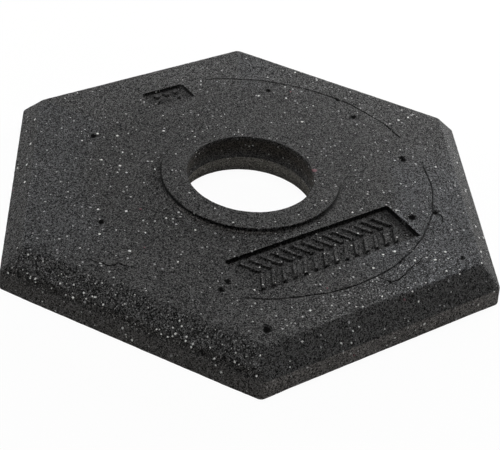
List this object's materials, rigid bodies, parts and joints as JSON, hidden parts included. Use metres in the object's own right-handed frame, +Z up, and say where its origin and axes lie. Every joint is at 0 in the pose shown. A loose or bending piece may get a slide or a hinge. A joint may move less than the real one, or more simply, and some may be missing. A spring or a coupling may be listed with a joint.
{
  "type": "rubber delineator base",
  "caption": "Six-sided moulded crumb-rubber base with a bevelled shoulder and a collared, stepped centre bore that slides over a flanged delineator post and weighs it down.",
  "frame": {"origin": "on the bore axis, at the ground face", "axes": "+Z up along the bore, +X square to a flat side, +Y towards a corner"},
  "size_m": [0.4198, 0.4828, 0.041],
  "materials": {
    "crumb_rubber": "dry grainy moulded crumb rubber",
    "white_granule": "matt granule",
    "grey_granule": "matt granule",
    "red_granule": "matt granule"
  },
  "bodies": {
    "root": {"rubber_base": "crumb_rubber", "white_flecks": "white_granule", "grey_flecks": "grey_granule", "red_flecks": "red_granule"}
  },
  "joints": []
}
